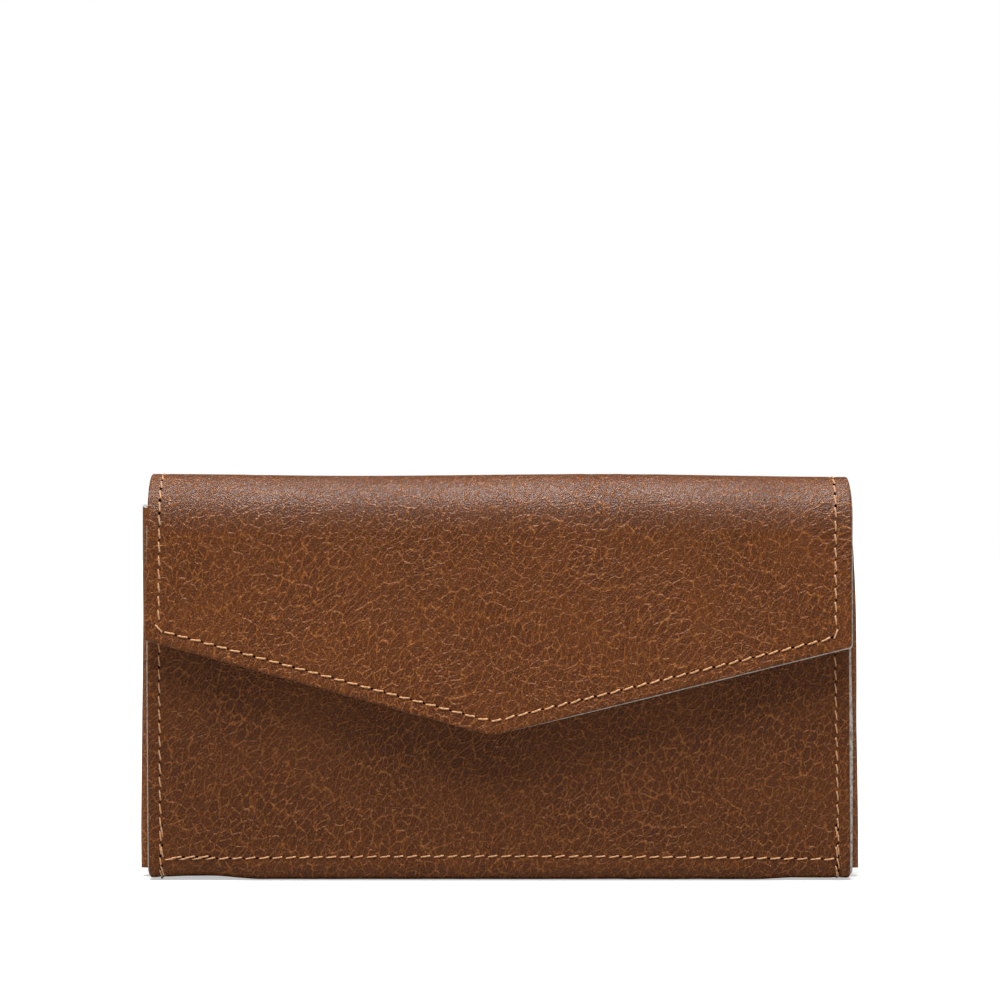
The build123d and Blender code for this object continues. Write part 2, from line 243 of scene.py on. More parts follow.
# %% [markdown]
# ## The flap's edge, and what happens near an edge
#
# The flap ends in a shallow V with a softly rounded tip. A hyperbola is a V whose point is rounded, so
# one formula draws the whole edge: a steeper left side, a flatter right side, as the skewed flap has.
#
# Three things mark the outer face only: the cut edge is rounded over by the edge tool, the seam pulls
# a shallow groove along the stitches, and the grain side carries soft wrinkles.

# %% The flap's edge and the outer face
TIP_X = -1.5
LEFT_RISE = 25.6
RIGHT_RISE = 23.8
TIP_SOFTNESS = 0.34
CORNER_ROUND = 0.9
FRONT_SHIFT = 0.6
ROW_INSET = 3.6
LEFT_INSET = [(0, 3.7), (FOLD_IN, 3.3), (FOLD_OUT, 3.4), (FOOT_FRONT, 3.3), (HIDE_END, 3.1)]
RIGHT_INSET = [(0, 4.2), (FOLD_IN, 4.4), (FOLD_OUT, 3.6), (FOOT_FRONT, 3.3), (HIDE_END, 4.1)]
GROOVE_DEPTH = 0.2
GROOVE_WIDTH = 0.75
ROLL_WIDTH = 0.7
ROLL_DEPTH = 0.42
WRINKLE = 0.07
FINE_WRINKLE = 0.035
DRIFT = 9


def flap_edge(x):
    """Length along the hide at which the flap's edge lies."""
    slope = np.where(x < TIP_X, LEFT_RISE / (HALF + TIP_X), RIGHT_RISE / (HALF - TIP_X))
    vee = np.sqrt((slope * (x - TIP_X)) ** 2 + TIP_SOFTNESS ** 2) - TIP_SOFTNESS
    over = np.clip(x - (HALF - CORNER_ROUND), 0, CORNER_ROUND)
    return vee + CORNER_ROUND - np.sqrt(CORNER_ROUND ** 2 - over ** 2)


def edge_gap(x, v):
    """Distance to the nearest cut edge of the hide."""
    return np.minimum(np.minimum(HALF - np.abs(x), v - flap_edge(x)), HIDE_END - v)


def row_inset(side, v):
    """Distance from a side edge to its row of stitches."""
    return smooth_through(v, RIGHT_INSET if side > 0 else LEFT_INSET)


def front_row(x):
    """Length along the hide of the row of stitches at the front's foot."""
    return FOOT_FRONT + 2.2 + 0.9 * np.cos(x / HALF * math.pi / 2)


def face_relief(x, v):
    """How far the outer face stands above the sheet's even thickness."""
    gap = edge_gap(x, v)
    roll = np.clip(1 - gap / ROLL_WIDTH, 0, 1)
    inset = np.where(x > 0, row_inset(1, v), row_inset(-1, v))
    groove = near(np.minimum(HALF - np.abs(x) + ROW_INSET - inset, v - flap_edge(x)), ROW_INSET, GROOVE_WIDTH)
    groove = np.maximum(groove, near(v, front_row(x), GROOVE_WIDTH) * (np.abs(x) < HALF - ROW_INSET))
    drift = DRIFT * hills(x, v, 40, 11)
    wrinkle = hills((x + v * 0.8 + drift) / 2.6, v - x * 0.7 + drift, 3.4, 13)
    fine = hills(x + drift, v + drift, 2.4, 17)
    calm = np.clip(gap / 5, 0.15, 1) * (0.55 + 0.45 * hills(x, v, 26, 19))
    relief = (WRINKLE * wrinkle + FINE_WRINKLE * fine) * calm
    return relief - GROOVE_DEPTH * groove - ROLL_DEPTH * (1 - np.sqrt(1 - roll ** 2))


def hide(x, v, depth=0.0, relief=0.0):
    """Points of the hide, in mm, at a depth below its outer face."""
    x, v = np.broadcast_arrays(np.asarray(x, float), np.asarray(v, float))
    y, z, h = [np.interp(v, walk_v, line) for line in (walk_y, walk_z, walk_h)]
    out = sheet_wave(x, v) + relief - depth
    aside = np.clip(FOLD_IN - v, 0, None) * math.tan(FLAP_SKEW)
    aside = aside + FRONT_SHIFT * np.clip((v - FLOOR_FRONT) / (HIDE_END - FLOOR_FRONT), 0, 0.6)
    return np.stack([x - aside, y - np.sin(h) * out, z + np.cos(h) * out], -1)


edge_heights = [float(hide(x, flap_edge(np.array(x)))[2]) for x in (-HALF, TIP_X, HALF)]
print("flap edge heights, left, tip, right:", [round(z, 1) for z in edge_heights])

# %% [markdown]
# ## Closed sheets
#
# Every leather piece is a closed sheet: an outer grid of points, an inner grid, and walls round the
# four sides. The faces of a wall get their own material, because a cut edge shows the raw, undyed
# middle of the hide. The hide is cut in strips where the wallet's bodies meet, and neighbouring strips
# must shade as one skin, so the normals are worked out on the whole hide first and given to each strip
# as custom normals. The UV map holds the place on the flat hide in metres, so the grain keeps its
# size, crosses the cuts unbroken and bends with the leather.

# %% Build a sheet
def grid_normals(points):
    """Smooth outward normals of a grid of points: rows along the hide, columns across it."""
    along, across = np.gradient(points, axis=0), np.gradient(points, axis=1)
    normal = np.cross(across, along)
    return normal / np.linalg.norm(normal, axis=-1, keepdims=True)


def quads(a, b, c, d):
    return np.stack([a, b, c, d], -1).reshape(-1, 4)


def closed_sheet(name, outer, inner, outer_normals, inner_normals, uv, materials):
    """A closed sheet from two grids in mm. Materials are for the outer face, the inner face and the rim."""
    rows, cols = outer.shape[:2]
    top = np.arange(rows * cols).reshape(rows, cols)
    low = top + rows * cols
    skins = [
        quads(top[:-1, :-1], top[:-1, 1:], top[1:, 1:], top[1:, :-1]),
        quads(low[:-1, :-1], low[1:, :-1], low[1:, 1:], low[:-1, 1:]),
    ]
    walls = [
        quads(low[0, :-1], low[0, 1:], top[0, 1:], top[0, :-1]),
        quads(top[-1, :-1], top[-1, 1:], low[-1, 1:], low[-1, :-1]),
        quads(top[:-1, 0], top[1:, 0], low[1:, 0], low[:-1, 0]),
        quads(low[:-1, -1], low[1:, -1], top[1:, -1], top[:-1, -1]),
    ]
    faces = np.concatenate(skins + walls)
    points = np.concatenate([outer.reshape(-1, 3), inner.reshape(-1, 3)]) * MM
    mesh = bpy.data.meshes.new(name)
    mesh.from_pydata(points.tolist(), [], faces.tolist())
    for material in materials:
        mesh.materials.append(material)
    counts = [len(skins[0]), len(skins[1]), sum(len(w) for w in walls)]
    mesh.polygons.foreach_set("material_index", np.repeat([0, 1, 2], counts).astype(np.int32))
    flat_uv = np.concatenate([uv.reshape(-1, 2)] * 2) * MM
    mesh.uv_layers.new(name="hide").data.foreach_set("uv", flat_uv[faces.ravel()].ravel())
    mesh.polygons.foreach_set("use_smooth", np.ones(len(faces), bool))
    normals = np.concatenate([outer_normals.reshape(-1, 3), inner_normals.reshape(-1, 3)])[faces]
    a, b, c, d = [points[faces[counts[0] + counts[1]:, k]] for k in range(4)]
    wall = np.cross(c - a, d - b)
    wall /= np.maximum(np.linalg.norm(wall, axis=-1, keepdims=True), 1e-12)
    normals[counts[0] + counts[1]:] = wall[:, None, :]
    mesh.normals_split_custom_set(normals.reshape(-1, 3).tolist())
    return new_piece(name, mesh)


print("a sheet 1 mm fine and as wide as the hide has", int(2 * HALF), "columns")

# %% [markdown]
# ## Full-grain cowhide
#
# The outer leather is tumbled full-grain cowhide: after tanning it is drummed until the grain shrinks
# into small pebbles. On this hide the ridges round the pebbles are paler than the cells, partly in their
# own colour, where they catch the dye, and partly as painted highlight, for the light they catch; so a
# fine pale network runs over darker cells 1.5 to 2 mm wide, drawn out along lines of flow. Voronoi cells
# give the network, and noise bends their map so that the flow wanders. The satin finish is a thin
# resin coat, so the gloss is soft and breaks up on the ridges. It shines more on the top fold, where
# the bend stretches the grain and hands polish it.
#
# The same recipe, with other colours and sizes, makes the thinner gusset leather, the smooth pocket
# leather and the pale lining. The gusset leather's colours are lighter than the outer hide's: painted
# light, for the light that its rounded peaks catch.

# %% Leather materials
RIDGE_FLOOR = -0.24
PEBBLE_WEIGHT = 0.5
SMALL_WEIGHT = 0.14
LINE_WEIGHT = 0.22
CROSS_WEIGHT = 0.16
PORE_WEIGHT = 0.95


def leather(name, dark, middle, light, cell, relief, roughness, flow=0.8, on_hide=True, network=1.0,
            front_tone=1.0, gloss_level=0.2, fold_polish=0.0):
    """Leather with a pebble network. cell is a pebble's width and relief its height, in mm."""
    material, tree, shader = new_material(name)
    connect(tree, shader, {"IOR": 1.5, "Specular IOR Level": gloss_level})
    place = add(tree, "ShaderNodeUVMap", uv_map="hide") if on_hide else object_place(tree)
    in_mm = add(tree, "ShaderNodeVectorMath", {0: place, "Scale": 1 / MM}, operation="SCALE")

    def wander(scale, detail, amount):
        """An offset that wanders by up to half the amount."""
        sway = {0: noise(tree, in_mm, scale, detail).outputs["Color"], 1: (0.5, 0.5, 0.5)}
        sway = add(tree, "ShaderNodeVectorMath", sway, operation="SUBTRACT")
        return add(tree, "ShaderNodeVectorMath", {0: sway, "Scale": amount}, operation="SCALE")

    def spread(value, low, high, to_low, to_high, **settings):
        """Maps low..high to to_low..to_high and holds it there beyond."""
        ends = {"Value": value, "From Min": low, "From Max": high, "To Min": to_low, "To Max": to_high}
        return add(tree, "ShaderNodeMapRange", ends, **settings)

    def maths(operation, *values):
        return add(tree, "ShaderNodeMath", dict(enumerate(values)), operation=operation)

    def drawn_out(turn, scale):
        return add(tree, "ShaderNodeMapping", {"Vector": turned, "Rotation": (0, 0, turn), "Scale": scale})

    def network_of(vector, scale, width):
        """Thin ridges along the borders of the cells."""
        flat = "2D" if on_hide else "3D"
        cells = add(tree, "ShaderNodeTexVoronoi", {"Vector": vector, "Scale": scale},
                    feature="DISTANCE_TO_EDGE", voronoi_dimensions=flat)
        return spread(cells, 0.0, width, 1.0, 0.0, interpolation_type="SMOOTHSTEP")

    swayed = add(tree, "ShaderNodeVectorMath", {0: in_mm, 1: wander(0.028, 1.0, 15)}, operation="ADD")
    swayed = add(tree, "ShaderNodeVectorMath", {0: swayed, 1: wander(0.4, 2.0, 1.0)}, operation="ADD")
    turned = add(tree, "ShaderNodeMapping", {"Vector": swayed, "Rotation": (0, 0, flow)})
    pebble_map = drawn_out(0.0, (0.62, 1.0, 1.0))
    broken = spread(noise(tree, in_mm, 0.7, 2.0), 0.32, 0.6, 0.0, 1.0)
    pebbles = maths("MULTIPLY", network_of(pebble_map, 1 / cell, 0.13), broken)
    small = network_of(pebble_map, 2.3 / cell, 0.26)
    lines = network_of(drawn_out(0.0, (0.2, 0.75, 0.5)), 1.0 / cell, 0.09)
    cross_lines = network_of(drawn_out(1.35, (0.3, 0.6, 0.5)), 1.0 / cell, 0.08)
    ridges = RIDGE_FLOOR
    for layer, weight in ((pebbles, PEBBLE_WEIGHT), (small, SMALL_WEIGHT), (lines, LINE_WEIGHT),
                          (cross_lines, CROSS_WEIGHT)):
        ridges = maths("MULTIPLY_ADD", layer, weight, ridges)
    patches = spread(noise(tree, in_mm, 0.05, 2.0), 0.36, 0.6, 0.6 * network, network)
    pores = maths("MULTIPLY", noise(tree, in_mm, 2.1, 3.0), PORE_WEIGHT)
    height = maths("MULTIPLY_ADD", ridges, patches, pores)
    # The ramp paints the ridges paler than the cells: partly the hide's own colour, partly painted highlight.
    ramp = two_tone(tree, height, dark, light, 0.2, 0.9)
    ramp.color_ramp.elements.new(0.48).color = colour(middle)
    mottle_and_front_shade = spread(noise(tree, in_mm, 0.022, 3.0), 0.3, 0.7, 0.94, 1.06)
    along = add(tree, "ShaderNodeSeparateXYZ", {"Vector": in_mm}).outputs["Y"]
    if fold_polish:
        onto = spread(along, FOLD_IN - 5, FOLD_IN + 5, 0.0, 1.0)
        off = spread(along, FOLD_OUT - 4, FOLD_OUT + 12, fold_polish, 0.0)
        level = maths("ADD", maths("MULTIPLY", onto, off), gloss_level)
        connect(tree, shader, {"Specular IOR Level": level})
    # Painted shade: the bottom and the front panel are darkened below the flap's colour, for the shade that the
    # flap and the steep overhead light leave on the front.
    if front_tone < 1:
        mottle_and_front_shade = maths("MULTIPLY", mottle_and_front_shade, spread(along, FLOOR_REAR, FOOT_FRONT + 8, 1.0, front_tone))
    tint = add(tree, "ShaderNodeHueSaturation", {"Color": ramp, "Value": mottle_and_front_shade})
    bump = add(tree, "ShaderNodeBump", {"Height": height, "Distance": relief * MM, "Strength": 1.0})
    gloss = spread(height, 0.0, 1.0, roughness + 0.1, roughness - 0.14)
    connect(tree, shader, {"Base Color": tint, "Normal": bump, "Roughness": gloss})
    return material


# The outer hide is painted darker on its bottom and front panel: painted shade under the flap.
cowhide = leather("tumbled_full_grain_cowhide", "#4a240b", "#6a3914", "#9c602e", 1.9, 0.34, 0.36,
                  flow=-1.05, front_tone=0.8, gloss_level=0.18, fold_polish=0.42)
# Painted light: the gusset's colours are lighter than the outer hide's, for the light its rounded peaks catch.
gusset_cowhide_painted_light = leather("skived_gusset_cowhide", "#5c3014", "#7d4820", "#a2683a", 1.1, 0.12, 0.45, flow=1.5)
pocket_calf = leather("smooth_pocket_calf", "#4f2d19", "#644028", "#7c5336", 0.9, 0.05, 0.45,
                      on_hide=False, network=0.5)
lining_pigskin = leather("pale_lining_leather", "#a2917f", "#b3a290", "#c3b4a2", 0.8, 0.06, 0.62, network=0.6)
flesh_side = leather("flesh_side_suede", "#6d5a4b", "#87725f", "#a08b76", 0.5, 0.12, 0.85, network=0.4)
print("leathers:", [m.name for m in bpy.data.materials if m.use_nodes and "hide" in m.name or "lea" in m.name])

# %% [markdown]
# ## The raw cut edge
#
# The edges are cut and left raw. Chrome-tanned leather is dyed on its surface, so a cut shows the
# blue-grey middle of the hide: a light grey, slightly fuzzy line with a little brown rubbed into it.

# %% Raw edge
def raw_edge():
    material, tree, shader = new_material("raw_chrome_tanned_edge")
    fibres = noise(tree, object_place(tree), 1100, 4.0)
    tone = two_tone(tree, fibres, "#6f655b", "#b4aea5", 0.3, 0.62)
    bump = add(tree, "ShaderNodeBump", {"Height": fibres, "Distance": 0.15 * MM})
    connect(tree, shader, {"Base Color": tone, "Normal": bump, "Roughness": 0.85})
    return material


cut_edge = raw_edge()
print("made", cut_edge.name)

# %% [markdown]
# ## The hide in strips
#
# The columns run across the hide and crowd together at both sides, so that the rounded-over edge is a
# real curve. The rows run along it. On the flap they are pressed together towards the sides, so that
# the first row is the V edge itself.
#
# The knife leans a little as it cuts, so the inner side of the sheet reaches further out than the
# grain side, most of all along the right, and the grey core shows there as a thin bright line.

# %% Cut the hide
CROWD = np.array([0, 0.08, 0.2, 0.38, 0.62, 1.0])
FINE = 1.0


def ticks(start, end, crowd_start=False, crowd_end=False):
    """Places from start to end about FINE apart, crowded at a cut edge."""
    low = start + CROWD if crowd_start else np.array([start])
    high = end - CROWD[::-1] if crowd_end else np.array([end])
    count = max(2, int(round((high[0] - low[-1]) / FINE)) + 1)
    return np.concatenate([low[:-1], np.linspace(low[-1], high[0], count), high[1:]])


def fold_at(share):
    """Length along the hide at a share of the fold's turn, measured up from the back."""
    return FOLD_OUT - share * (FOLD_OUT - FOLD_IN)


EDGE_BAND = 1.2
LEFT_LEAN = 0.35
FOLD_LEAN = 0.08
VEE_LEAN = 0.3
RIGHT_LEAN = [(0, 0.15), (8, 0.4), (60, 0.35), (FOLD_IN + 20, 0.15), (FOLD_OUT, 0.1), (FOOT_FRONT, 0.7),
              (FOOT_FRONT + 35, 1.0), (FOOT_FRONT + 60, 0.6), (HIDE_END, 0.3)]
CUTS = [0, fold_at(0.75), fold_at(0.5), fold_at(0.25), FLOOR_REAR, FLOOR_FRONT, HIDE_END]
across_x = ticks(-HALF, HALF, True, True)
rows = [ticks(a, b, a == 0, b == HIDE_END) for a, b in zip(CUTS, CUTS[1:])]
starts = np.cumsum([0] + [len(r) - 1 for r in rows])
all_rows = np.concatenate([rows[0]] + [r[1:] for r in rows[1:]])
X, T = np.meshgrid(across_x, all_rows)
V = np.where(T < FOLD_IN, flap_edge(X) + T * (1 - flap_edge(X) / FOLD_IN), T)
at_edge = np.clip(1 - edge_gap(X, V) / EDGE_BAND, 0, 1) ** 2
lean_side = np.where(X > 0, smooth_through(V, RIGHT_LEAN), np.where(V > FOLD_OUT, LEFT_LEAN, FOLD_LEAN))
X_IN = X + np.sign(X) * at_edge * lean_side * (HALF - np.abs(X) < EDGE_BAND)
V_IN = V - at_edge * (T < EDGE_BAND) * VEE_LEAN * np.clip((X - TIP_X) / 30, 0.1, 1)


def sheet_layer(face_depth, back_depth, relief):
    """Outer and inner points and normals of one layer of the whole hide."""
    face = hide(X if relief else X_IN, V if relief else V_IN, face_depth, face_relief(X, V) if relief else 0)
    soft_edge = 0 if relief else 0.15 * np.clip(1 - edge_gap(X, V) / 0.6, 0, 1) ** 2
    inner = hide(X_IN, V_IN, back_depth - soft_edge)
    return face, inner, grid_normals(face), -grid_normals(inner)


print("hide grid", X.shape, "in", len(rows), "strips")

# %% [markdown]
# ## Strips between two bodies
#
# The fold opens on four hinges, and the pocket and the front turn on the end of the bottom. Each strip
# of leather lies between the middles of two bodies, so it starts and ends exactly where its neighbours
# do.

# %% Dress the hide and its lining
STRIPS = {
    "flap": (("fold_front", "flap"), (fold_at(0.75), FOLD_IN)),
    "fold_front": (("fold_top", "fold_front"), (fold_at(0.5), fold_at(0.75))),
    "fold_rear": (("fold_rear", "fold_top"), (fold_at(0.25), fold_at(0.5))),
    "back": (("back", "fold_rear"), (FOLD_OUT, fold_at(0.25))),
    "bottom": (("back", "pocket"), (FLOOR_REAR + 6, FLOOR_FRONT)),
    "front": (("pocket", "front"), (FLOOR_FRONT, FOOT_FRONT + 4)),
}
STANDS_FOR = {
    "flap": ("flap_{}", "fold_{}_flap"),
    "fold_front": ("fold_{}_front",),
    "fold_rear": ("fold_{}_top", "fold_{}_rear"),
    "back": ("back_{}", "fold_{}_back"),
    "bottom": ("bottom_{}",),
    "front": ("front_{}",),
}


def bend_with(piece, strip):
    """Bakes a piece's placement into its mesh; the strip's bodies and ends are looked up but not used."""
    bodies, ends = STRIPS[strip]
    start, end = [Vector(hide(0, v, LEATHER / 2) * MM) for v in ends]
    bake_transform(piece)


def dress(layer, panel_word, fold_word, face_depth, back_depth, relief, materials):
    """Makes one layer of the hide, strip by strip, and hides the CAD nodes that each strip stands for."""
    grids = [*sheet_layer(face_depth, back_depth, relief), np.stack([X, V], -1)]
    for strip, first, last in zip(STRIPS, starts, starts[1:]):
        piece = closed_sheet(f"{strip}_{layer}", *[grid[first:last + 1] for grid in grids], materials)
        bend_with(piece, strip)
        for pattern in STANDS_FOR[strip]:
            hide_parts(pattern.format(fold_word if "fold" in pattern else panel_word))
        print(piece.name, len(piece.data.polygons), "faces")


dress("hide", "panel", "leather", 0, LEATHER, True, [cowhide, flesh_side, cut_edge])
dress("lining_leather", "lining", "lining", LEATHER, LEATHER + LINING, False,
      [flesh_side, lining_pigskin, lining_pigskin])

# %% [markdown]
# ## The accordion gussets
#
# Each side is closed by one W-shaped strip: sewn to the front, folded in to a valley, out to a peak
# that wraps the pocket's edge, in to the second valley and out to the back. It is drawn in plan as a
# line with rounded corners and swept upwards. From the front only the rounded peaks show, a
# few millimetres outside the panels. They stand out more towards the bottom, where nothing presses
# them together.

# %% Gussets
GUSSET = 1.0
gusset_corner, gusset_far_corner = box_mm("rear_gusset_right")
PEAK = gusset_far_corner.x - GUSSET / 2
VALLEY = 84.5
LAP = 91.0
POCKET_Y = gusset_corner.y
gusset_low, gusset_high = gusset_corner.z, gusset_far_corner.z
TOP_RISE = 0.9
SEAM_DROP = 1.1
PEAK_DROP = 0.3
GUSSET_STEP = 0.35
FOOT_FLARE = 0.5
TOP_TUCK = 1.8
FRONT_LAP_Y = -0.8
REAR_LAP_Y = 5.55
FRONT_PEAK_Y = 1.9
REAR_PEAK_Y = 4.8
LAP_EASE = 1.1
POCKET_MOUTH = box_mm("coin_pocket_rear_wall")[1].z


def rounded(points, radii, step=GUSSET_STEP):
    """A line through corner points with each corner rounded, as evenly spaced points."""
    points = [np.array(p, float) for p in points]
    line = [points[0]]
    for before, corner, after, radius in zip(points, points[1:], points[2:], radii):
        into, out = corner - before, after - corner
        into, out = into / np.linalg.norm(into), out / np.linalg.norm(out)
        turn = math.acos(np.clip(into @ out, -1, 1))
        tangent = radius * math.tan(turn / 2)
        for t in np.linspace(0, 1, 9):
            a, b = corner - into * tangent * (1 - t), corner + out * tangent * t
            line.append(a * (1 - t) + b * t)
    line = np.array(line + [points[-1]])
    run = np.concatenate([[0], np.cumsum(np.linalg.norm(np.diff(line, axis=0), axis=1))])
    even = np.linspace(0, run[-1], int(run[-1] / step) + 1)
    return np.stack([np.interp(even, run, line[:, k]) for k in range(2)], -1)


def gusset(name, side, panel_y, pocket_y, lap_y, turned):
    """One half of a gusset, from a panel's seam to the peak; side is 1 on the right and -1 on the left."""
    inner_turn = abs(panel_y - pocket_y) / 2 - 0.02
    plan = rounded(
        [(HALF - 0.4, panel_y), (VALLEY, panel_y), (VALLEY, pocket_y), (LAP, pocket_y),
         (PEAK - 2.9, lap_y), (PEAK, lap_y), (PEAK, POCKET_Y)],
        [inner_turn, inner_turn, 1.6, 1.2, abs(lap_y - POCKET_Y) - 0.05],
    )
    heights = ticks(0, gusset_high - gusset_low, True, True) / (gusset_high - gusset_low)
    to_panel = np.clip(np.abs(plan[:, 1] - POCKET_Y) / abs(panel_y - POCKET_Y), 0, 1)
    bottom = gusset_low - PEAK_DROP + to_panel * SEAM_DROP
    top = gusset_high + TOP_RISE - to_panel * (gusset_high - front_high.z)
    H, ALONG = np.meshgrid(heights, np.arange(len(plan)), indexing="ij")
    Z = bottom[ALONG] + (top - bottom)[ALONG] * H
    tangent = np.gradient(plan, axis=0)
    tangent /= np.linalg.norm(tangent, axis=-1, keepdims=True)
    normal = np.stack([tangent[:, 1], -tangent[:, 0]], -1)
    flare = (1 - H) ** 1.5 * FOOT_FLARE - TOP_TUCK * np.clip((H - 0.62) / 0.38, 0, 1) ** 2 * (side > 0)
    flare = flare + 0.15 * hills(Z, ALONG * GUSSET_STEP, 14, 23 + side)
    flare = flare * np.clip(plan[:, 0][ALONG] - LAP, 0, 5) / 5
    loose = np.clip((Z - POCKET_MOUTH) / 4, 0, 1)
    loose = loose * loose * (3 - 2 * loose) * np.clip(1 - np.abs(plan[:, 1] - pocket_y) / 2, 0, 1)[ALONG]
    surface = []
    for offset in (GUSSET / 2, -GUSSET / 2):
        flat = plan[ALONG] + normal[ALONG] * offset
        flat[..., 1] += math.copysign(LAP_EASE, panel_y - pocket_y) * loose
        surface.append(np.stack([side * (flat[..., 0] + flare), flat[..., 1], Z], -1))
    outer, inner = surface if turned else surface[::-1]
    if side < 0:
        outer, inner = outer[:, ::-1], inner[:, ::-1]
    if not turned:
        outer, inner = outer[:, ::-1], inner[:, ::-1]
    uv = np.stack([ALONG * GUSSET_STEP + 200, Z], -1)
    piece = closed_sheet(f"{name}_leather", outer, inner, grid_normals(outer), -grid_normals(inner), uv,
                         [gusset_cowhide_painted_light, gusset_cowhide_painted_light, cut_edge])
    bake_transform(piece)
    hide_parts(name)
    return piece


for word, side in (("left", -1), ("right", 1)):
    front_seam_y = box_mm(f"front_gusset_{word}")[0].y + GUSSET / 2
    rear_seam_y = box_mm(f"rear_gusset_{word}")[1].y - GUSSET / 2
    gusset(f"front_gusset_{word}", side, front_seam_y, FRONT_LAP_Y, FRONT_PEAK_Y, False)
    gusset(f"rear_gusset_{word}", side, rear_seam_y, REAR_LAP_Y, REAR_PEAK_Y, True)
print("gussets peak at", round(PEAK + GUSSET / 2, 1), "mm from the middle")

# %% [markdown]
# ## Thread
#
# The seams are lockstitched with a bonded polyester thread, about seven stitches to the inch. A
# lockstitch is one thread that dives through each hole and comes up again, so what shows is a row of
# short bars with a dark hole between them. The needle's cutting point turns each bar a little off the
# seam's line. One bar and one hole are modelled, and Geometry Nodes sets them along the seam:
# the seam is an edge line that carries the leather's outward direction, so each bar lies flat on its
# own piece of leather, round the folds as well.
#
# One row runs over several strips of leather. Each point of the row also knows how far along the hide
# it lies, and the tree keeps only the stitches between two such lengths, so that each strip gets a
# mesh of its own stitches.

# %% Thread materials
def thread_material(name, dark, light, specular=0.5, sheen=0.3):
    """Bonded polyester thread: a smooth resin skin over twisted plies, so a dull gloss."""
    material, tree, shader = new_material(name)
    fibres = noise(tree, object_place(tree), 2200, 3.0)
    tone = two_tone(tree, fibres, dark, light, 0.32, 0.6)
    bump = add(tree, "ShaderNodeBump", {"Height": fibres, "Distance": 0.05 * MM})
    connect(tree, shader, {"Base Color": tone, "Normal": bump, "Roughness": 0.55, "Sheen Weight": sheen,
                           "Specular IOR Level": specular})
    return material


thread = thread_material("bonded_polyester_thread", "#a86f3e", "#d6a06c")
# Painted shade: the needle holes are near-black dishes, for the shadow down each hole.
painted_needle_hole = thread_material("needle_hole_shadow", "#020101", "#050302", specular=0.0, sheen=0.0)
print("made", thread.name, "and", painted_needle_hole.name)

# %% [markdown]
# ## One stitch and one needle hole
#
# A stitch is a short capped tube that arches over the leather and dives at both ends. Every other side
# of it is pressed in a little and they twist along it, as plies do. A hole is the same tube pressed
# flat: a near-black dish in the leather, half a pitch further on, painted shade for the shadow down the
# needle hole. Both are templates, and go after the sewing.

# %% One stitch and one needle hole
PITCH = 3.63
STITCH = 3.3
THREAD = 0.26
HOLE = 0.42
DISH_FLATNESS = 0.22


def tube(name, rings, capped):
    """A template made of rings of points in mm, joined one to the next."""
    index = np.arange(rings.shape[0] * rings.shape[1]).reshape(rings.shape[:2])
    after = np.roll(index, -1, axis=1)
    faces = quads(index[:-1], after[:-1], after[1:], index[1:]).tolist()
    if capped:
        faces += [index[0, ::-1].tolist(), index[-1].tolist()]
    mesh = bpy.data.meshes.new(name)
    mesh.from_pydata((rings.reshape(-1, 3) * MM).tolist(), [], faces)
    mesh.polygons.foreach_set("use_smooth", np.ones(len(faces), bool))
    return new_piece(name, mesh)


def tube_along_x(name, x, z, radii, twist=0.0, flatness=1.0, sides=6):
    """A capped tube along X whose sides stand in and out in turn, like plies, and twist."""
    n = np.arange(sides)
    angle = 2 * math.pi * n / sides + twist * np.arange(len(x))[:, None]
    ply = np.array(radii)[:, None] * np.where(n % 2, 1.1, 0.88)
    ring_z = (np.array(z)[:, None] + ply * np.sin(angle)) * flatness
    ring_x = np.broadcast_to(np.array(x)[:, None], angle.shape)
    return tube(name, np.stack([ring_x, ply * np.cos(angle), ring_z], -1), capped=True)


shares = np.linspace(-1, 1, 9)
arch = 0.15 - 0.6 * np.abs(shares) ** 6
girth = THREAD * (0.72 + 0.28 * np.cos(shares * 1.1 - 0.45))
stitch = tube_along_x("one_stitch", shares * STITCH / 2, arch, girth, twist=0.5)
mouth = HOLE * np.array([0.25, 0.75, 0.95, 0.75, 0.25])
across_hole = PITCH / 2 + np.linspace(-1, 1, 5) * HOLE * 1.05
hole = tube_along_x("one_hole", across_hole, np.full(5, -0.03), mouth, flatness=DISH_FLATNESS)
print("stitch faces:", len(stitch.data.polygons), "hole faces:", len(hole.data.polygons))

# %% [markdown]
# ## The sewing tree
#
# The tree takes the seam's edges as a curve and resamples it at the stitch pitch. Two rotations make
# each stitch lie right: the first stands it on the leather's outward direction, the second turns it
# along the seam. A small random slant, from a fixed seed, keeps the row from looking stamped.

# %% The sewing tree
def new_tree(name, sockets, result):
    """A geometry tree with named inputs and one result; also gives the outputs that carry the inputs."""
    tree = bpy.data.node_groups.new(name, "GeometryNodeTree")
    for socket, kind in sockets.items():
        tree.interface.new_socket(socket, in_out="INPUT", socket_type=f"NodeSocket{kind}")
    tree.interface.new_socket(result, in_out="OUTPUT", socket_type="NodeSocketGeometry")
    return tree, add(tree, "NodeGroupInput").outputs


